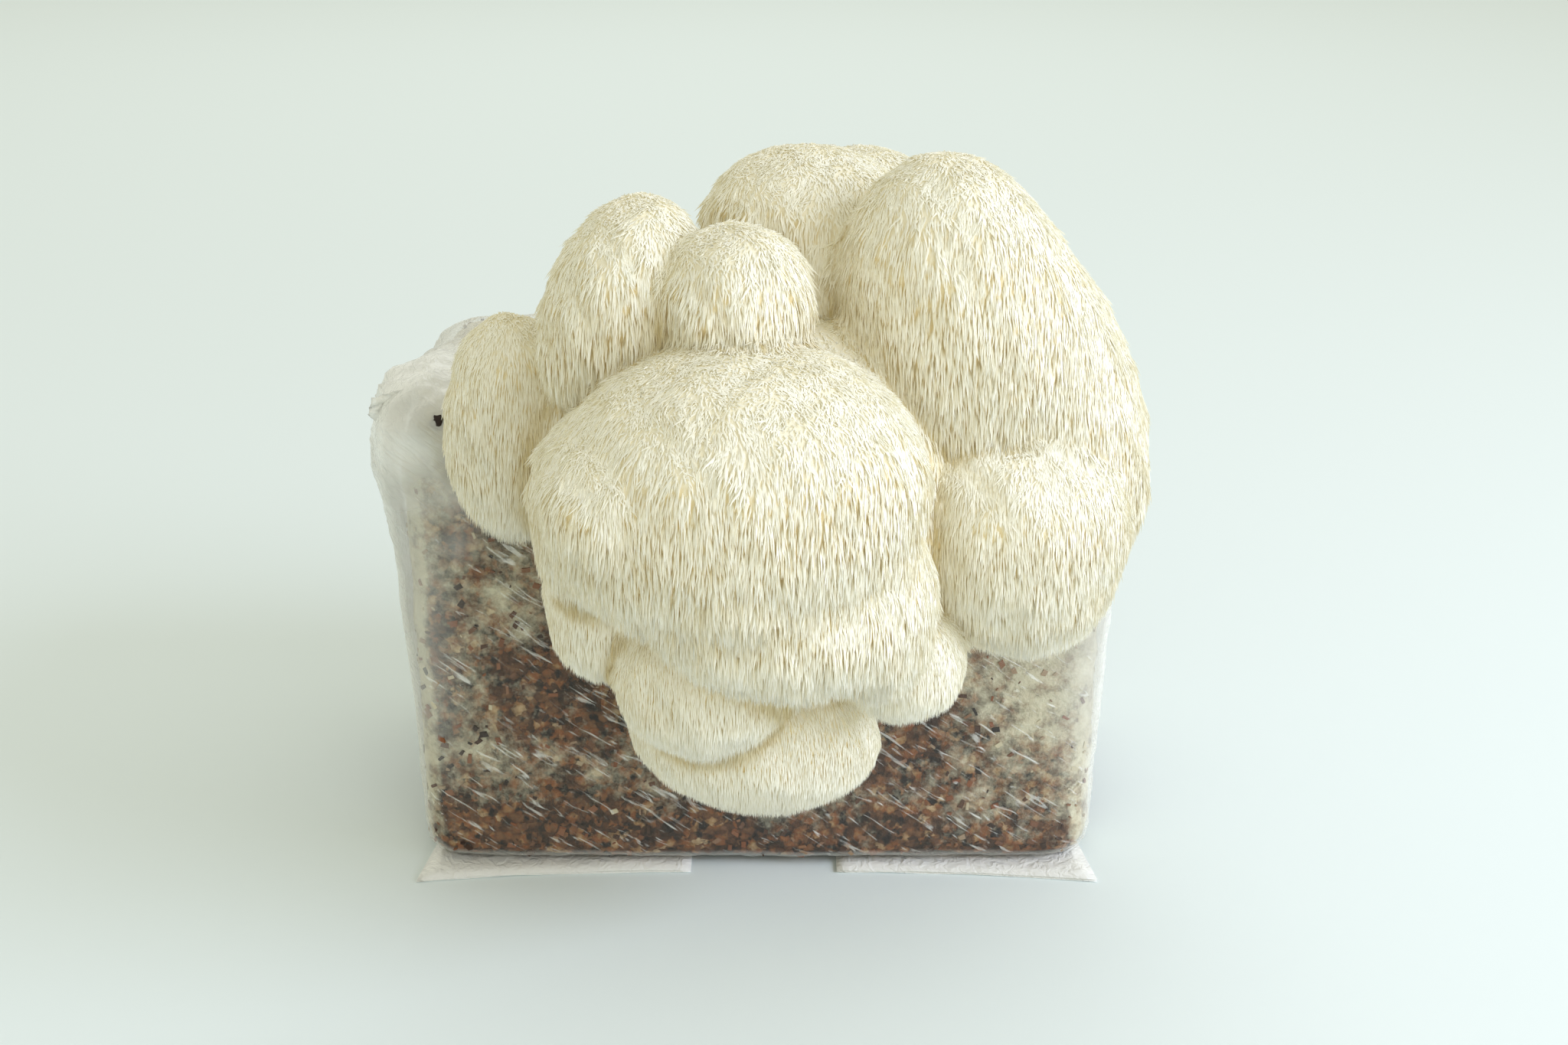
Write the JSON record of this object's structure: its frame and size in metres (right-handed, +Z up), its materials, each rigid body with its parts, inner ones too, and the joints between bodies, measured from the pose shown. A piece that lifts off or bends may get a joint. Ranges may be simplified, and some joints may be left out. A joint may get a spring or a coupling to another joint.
{
  "type": "lion's mane mushroom",
  "caption": "Cluster of rounded shaggy mushroom heads with hanging spines, fruiting through the film of a bagged sawdust grow block.",
  "frame": {"origin": "middle of the base, on the surface that the bagged block stands on", "axes": "+Z up; the mushroom grows out of the block's front, towards -Y; +X runs along the block's width"},
  "size_m": [0.2208, 0.2312, 0.2173],
  "materials": {
    "mushroom_flesh": "matt",
    "colonised_sawdust": "rough",
    "clear_film": "glossy"
  },
  "bodies": {
    "root": {"fruit_body": "mushroom_flesh", "substrate_block": "colonised_sawdust", "grow_bag": "clear_film"}
  },
  "joints": []
}
